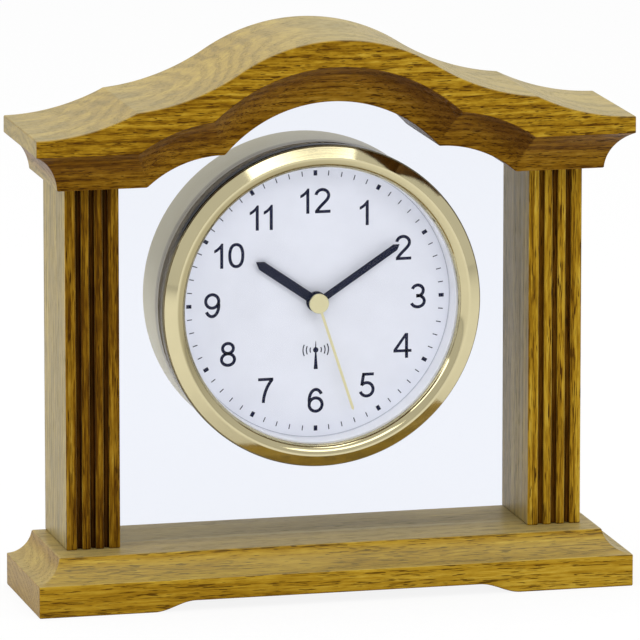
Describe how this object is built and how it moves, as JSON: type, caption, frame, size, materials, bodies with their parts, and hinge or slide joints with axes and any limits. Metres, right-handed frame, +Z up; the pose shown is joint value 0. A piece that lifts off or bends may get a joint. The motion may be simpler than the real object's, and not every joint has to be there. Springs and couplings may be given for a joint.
{
  "type": "table clock",
  "caption": "Arched wooden table clock with moulded base and cornice, fluted pillars, and a round gold-rimmed quartz clock set in a glass pane.",
  "frame": {"origin": "on the table, under the middle of the clock's overall box", "axes": "+Z up, the dial faces -Y, +X to the viewer's right when facing the dial"},
  "size_m": [0.23, 0.0644, 0.214],
  "materials": {
    "oak": "satin varnish over open-pored oak",
    "dowel_wood": "bare planed hardwood",
    "pane_glass": "clear polished sheet",
    "lens_glass": "clear polished sheet",
    "gold_rim": "polished gold plating",
    "drum_metal": "satin champagne anodising",
    "white_plastic": "smooth satin",
    "dial_card": "smooth printed card",
    "black_plastic": "finely textured moulding",
    "black_rubber": "matt",
    "steel": "zinc plated",
    "gear_plastic": "natural moulded",
    "magnet": "bonded magnet, matt",
    "motor_steel": "stamped sheet",
    "coil_wire": "enamelled copper winding",
    "board_green": "solder mask",
    "ferrite": "ground",
    "cell_case": "printed wrapper",
    "button_plastic": "smooth moulded",
    "hand_dark": "satin dark lacquer",
    "hand_gold": "brushed pale gold"
  },
  "bodies": {
    "case": {"base": "oak", "left_pillar": "oak", "right_pillar": "oak", "cornice": "oak", "pillar_screws": "steel", "cornice_dowels": "dowel_wood", "glass_pane": "pane_glass", "bezel": "gold_rim", "lens": "lens_glass", "chapter_ring": "white_plastic", "dial": "dial_card", "dial_plate": "white_plastic", "pane_gasket": "black_rubber", "drum": "drum_metal", "rear_cover": "black_plastic", "cover_screws": "steel", "movement_front": "black_plastic", "movement_back": "black_plastic", "movement_screws": "steel", "wheel_pins": "steel", "seconds_stator": "motor_steel", "seconds_core": "motor_steel", "seconds_coil": "coil_wire", "minutes_stator": "motor_steel", "minutes_core": "motor_steel", "minutes_coil": "coil_wire", "circuit_board": "board_green", "board_chip": "black_plastic", "board_switches": "black_plastic", "quartz_crystal": "steel", "antenna_rod": "ferrite", "antenna_coil": "coil_wire", "cell": "cell_case", "positive_contact": "steel", "negative_contact": "steel"},
    "seconds_train": {"second_wheel": "gear_plastic", "second_hand": "hand_gold", "second_cap": "hand_gold"},
    "seconds_mid": {"seconds_mid_wheel": "gear_plastic"},
    "seconds_rotor_body": {"seconds_rotor": "magnet"},
    "minutes_train": {"minute_wheel": "gear_plastic", "minute_hand": "hand_dark"},
    "minutes_mid": {"minutes_mid_wheel": "gear_plastic"},
    "minutes_rotor_body": {"minutes_rotor": "magnet"},
    "change": {"change_wheel": "gear_plastic"},
    "hours": {"hour_wheel": "gear_plastic", "hour_hand": "hand_dark"},
    "set_push": {"set_button": "button_plastic"},
    "reset_push": {"reset_button": "button_plastic"},
    "door": {"battery_door": "black_plastic"}
  },
  "joints": [
    {"name": "second_spin", "type": "hinge", "parent": "case", "child": "seconds_train", "pos_m": [0, 0.01275, 0.1086], "axis": [0, 1, 0], "continuous": true},
    {"name": "seconds_mid_spin", "type": "hinge", "parent": "case", "child": "seconds_mid", "pos_m": [-0.0081, 0.01275, 0.1086], "axis": [0, 1, 0], "continuous": true},
    {"name": "seconds_rotor_spin", "type": "hinge", "parent": "case", "child": "seconds_rotor_body", "pos_m": [-0.0137, 0.01275, 0.1086], "axis": [0, 1, 0], "continuous": true},
    {"name": "minute_spin", "type": "hinge", "parent": "case", "child": "minutes_train", "pos_m": [0, 0.01275, 0.1086], "axis": [0, 1, 0], "continuous": true},
    {"name": "minutes_mid_spin", "type": "hinge", "parent": "case", "child": "minutes_mid", "pos_m": [0.0081, 0.01275, 0.1086], "axis": [0, 1, 0], "continuous": true},
    {"name": "minutes_rotor_spin", "type": "hinge", "parent": "case", "child": "minutes_rotor_body", "pos_m": [0.0137, 0.01275, 0.1086], "axis": [0, 1, 0], "continuous": true},
    {"name": "change_spin", "type": "hinge", "parent": "case", "child": "change", "pos_m": [0, 0.01275, 0.1146], "axis": [0, 1, 0], "continuous": true},
    {"name": "hour_spin", "type": "hinge", "parent": "case", "child": "hours", "pos_m": [0, 0.01275, 0.1086], "axis": [0, 1, 0], "continuous": true},
    {"name": "set_button_push", "type": "slide", "parent": "case", "child": "set_push", "axis": [0, -1, 0], "range_m": [0, 0.0006], "stiffness_N_per_m": 300, "springref_m": -0.0005},
    {"name": "reset_button_push", "type": "slide", "parent": "case", "child": "reset_push", "axis": [0, -1, 0], "range_m": [0, 0.0006], "stiffness_N_per_m": 300, "springref_m": -0.0005},
    {"name": "battery_door_swing", "type": "hinge", "parent": "case", "child": "door", "pos_m": [0, 0.02415, 0.0832], "axis": [-1, 0, 0], "range_deg": [0, 95]}
  ],
  "couplings": [
    {"joint": "seconds_mid_spin", "follows": "second_spin", "ratio": -5},
    {"joint": "seconds_rotor_spin", "follows": "second_spin", "ratio": 30},
    {"joint": "minutes_mid_spin", "follows": "minute_spin", "ratio": -5},
    {"joint": "minutes_rotor_spin", "follows": "minute_spin", "ratio": 30},
    {"joint": "change_spin", "follows": "minute_spin", "ratio": -0.33333},
    {"joint": "hour_spin", "follows": "minute_spin", "ratio": 0.083333}
  ]
}
